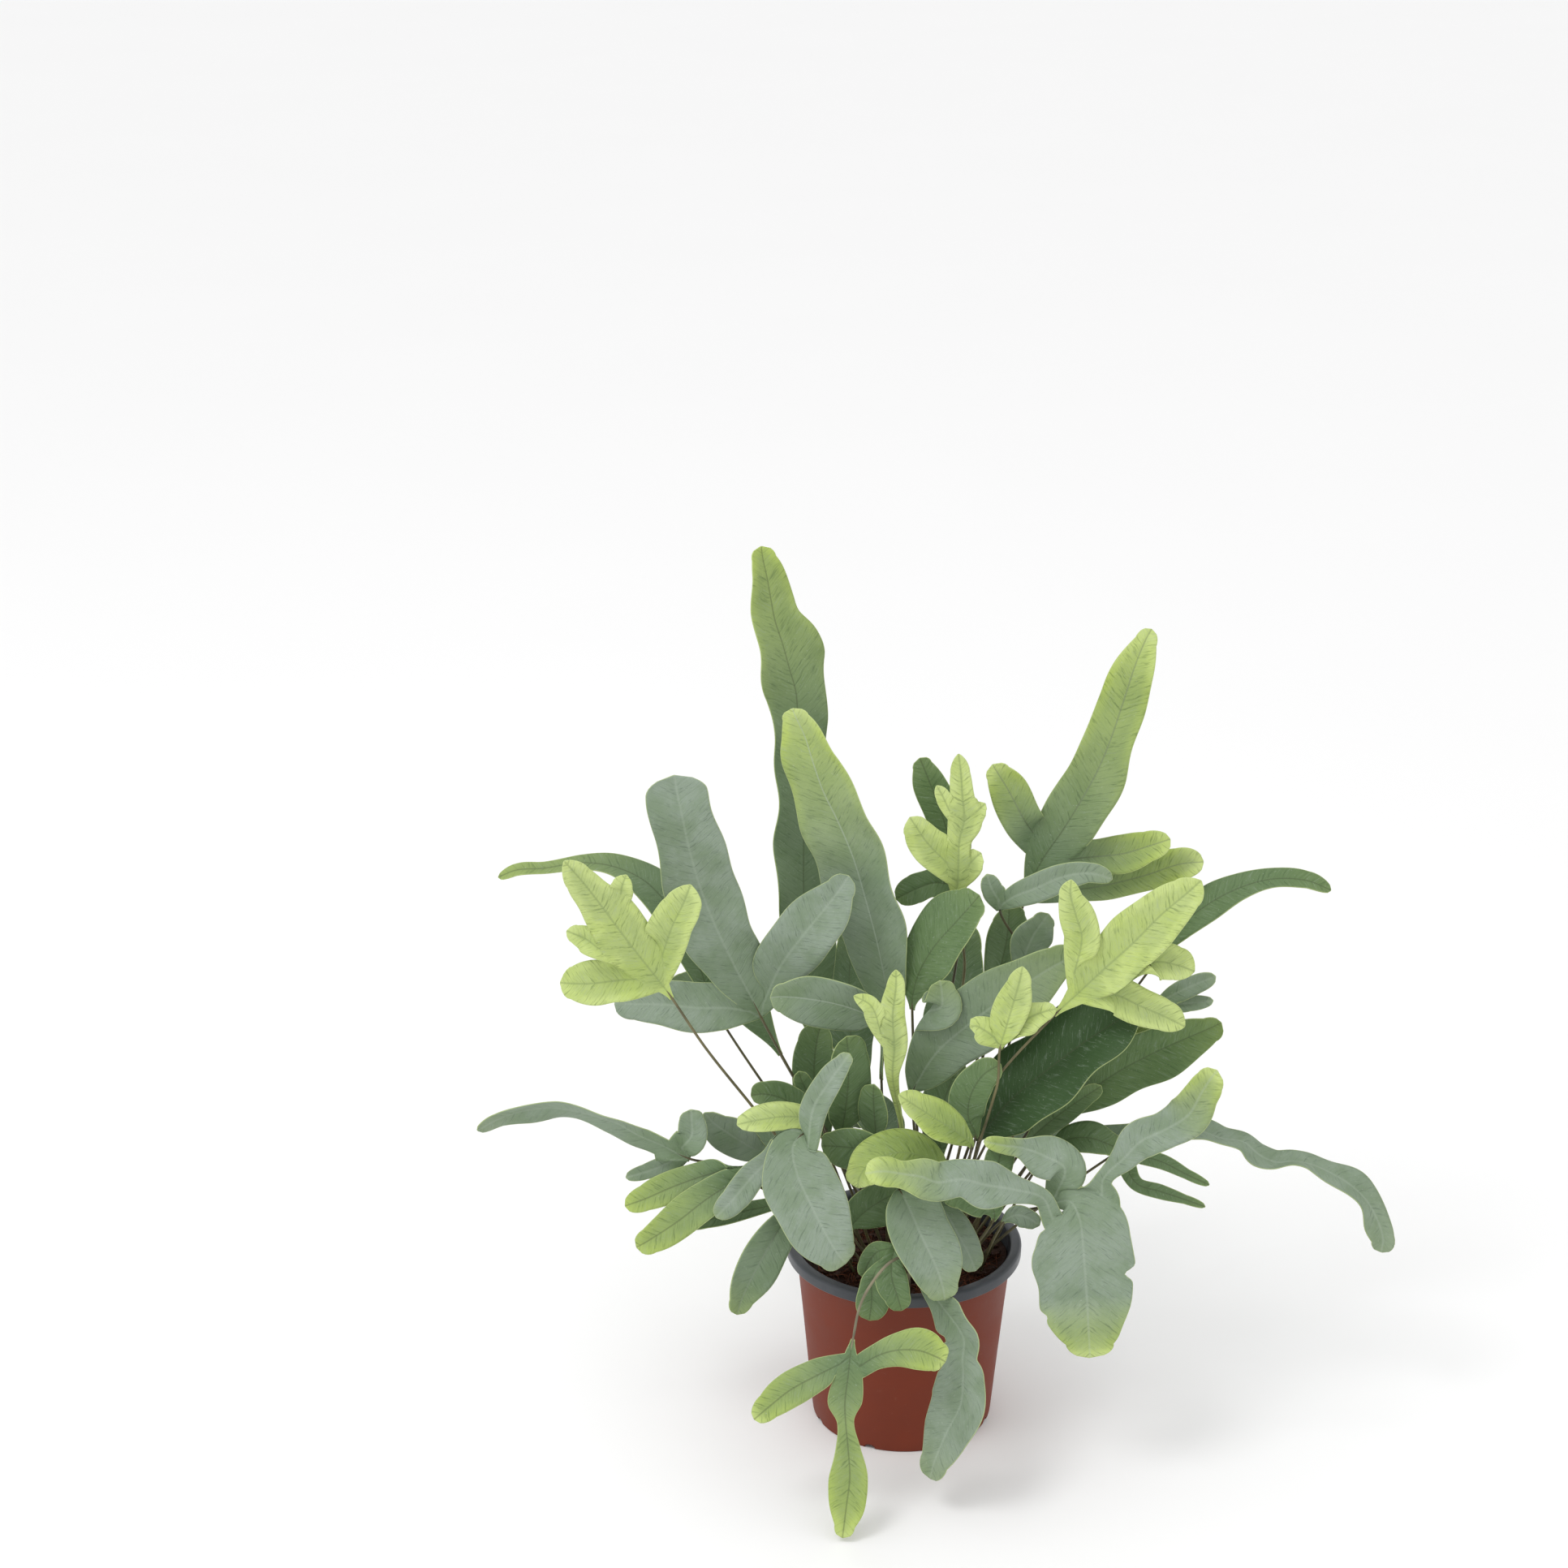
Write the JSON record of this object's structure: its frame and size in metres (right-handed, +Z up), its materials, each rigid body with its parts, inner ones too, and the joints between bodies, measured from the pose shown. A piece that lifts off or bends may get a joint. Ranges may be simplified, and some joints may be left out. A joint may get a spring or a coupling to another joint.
{
  "type": "potted blue star fern",
  "caption": "Potted fern with upright, arching and hanging blue-green lobed fronds on wiry stalks, young ones lime green, in a terracotta-coloured nursery pot with a dark rolled lip.",
  "frame": {"origin": "middle of the pot's flat bottom, on the surface it stands on", "axes": "+Z up, out of the pot; the pictured front of the plant faces -Y and its right side is +X"},
  "size_m": [0.4565, 0.252, 0.4404],
  "materials": {
    "pot": "semi-matte thermoformed plastic, terracotta red with a dark grey lip and inside",
    "soil": "damp dark brown coir and peat",
    "frond_green": "leathery leaf, satin, blue-green with paler margin",
    "frond_grey": "leathery leaf, matt waxy blue-grey bloom",
    "frond_lime": "thin young leaf, satin, lime green"
  },
  "bodies": {
    "root": {"pot": "pot", "soil": "soil", "frond_tall_back": "frond_green", "frond_tall_front": "frond_green", "frond_upright_right": "frond_green", "frond_big_left": "frond_grey", "frond_lime_left": "frond_lime", "frond_far_left": "frond_green", "frond_lime_top": "frond_lime", "frond_back_green": "frond_green", "frond_dark_round": "frond_green", "frond_green_mid": "frond_green", "frond_grey_arch": "frond_grey", "frond_grey_small": "frond_grey", "frond_big_middle": "frond_grey", "frond_lime_right": "frond_lime", "frond_lime_right_low": "frond_lime", "frond_dark_strap": "frond_green", "frond_right_strap": "frond_green", "frond_lime_mid": "frond_lime", "frond_lime_small": "frond_lime", "frond_left_oval": "frond_green", "frond_centre_oval": "frond_green", "frond_small_oval": "frond_green", "frond_grey_front": "frond_grey", "frond_left_lime": "frond_lime", "frond_left_stalked": "frond_grey", "frond_left_pale": "frond_grey", "frond_left_low": "frond_green", "frond_left_narrow": "frond_green", "frond_left_front": "frond_green", "frond_centre_grey": "frond_grey", "frond_centre_right": "frond_grey", "frond_front_young": "frond_green", "frond_hang_left": "frond_green", "frond_hang_right": "frond_grey", "frond_mid_oval": "frond_green", "frond_lime_centre": "frond_lime", "frond_front_right": "frond_grey", "frond_right_twin": "frond_green", "frond_far_right": "frond_grey", "frond_curled": "frond_green", "frond_lime_fold": "frond_lime", "frond_right_pair": "frond_grey", "frond_right_back": "frond_green", "frond_low_left": "frond_green", "frond_crown_left": "frond_green", "frond_right_low": "frond_green", "frond_right_under": "frond_green", "frond_right_narrow": "frond_green", "frond_rim_right": "frond_grey", "frond_centre_dark": "frond_green", "frond_centre_back": "frond_green", "frond_rear_one": "frond_green", "frond_rear_two": "frond_green", "frond_rear_three": "frond_green", "frond_rear_four": "frond_green", "frond_rear_five": "frond_green", "frond_rear_six": "frond_green", "frond_rear_seven": "frond_green"}
  },
  "joints": []
}
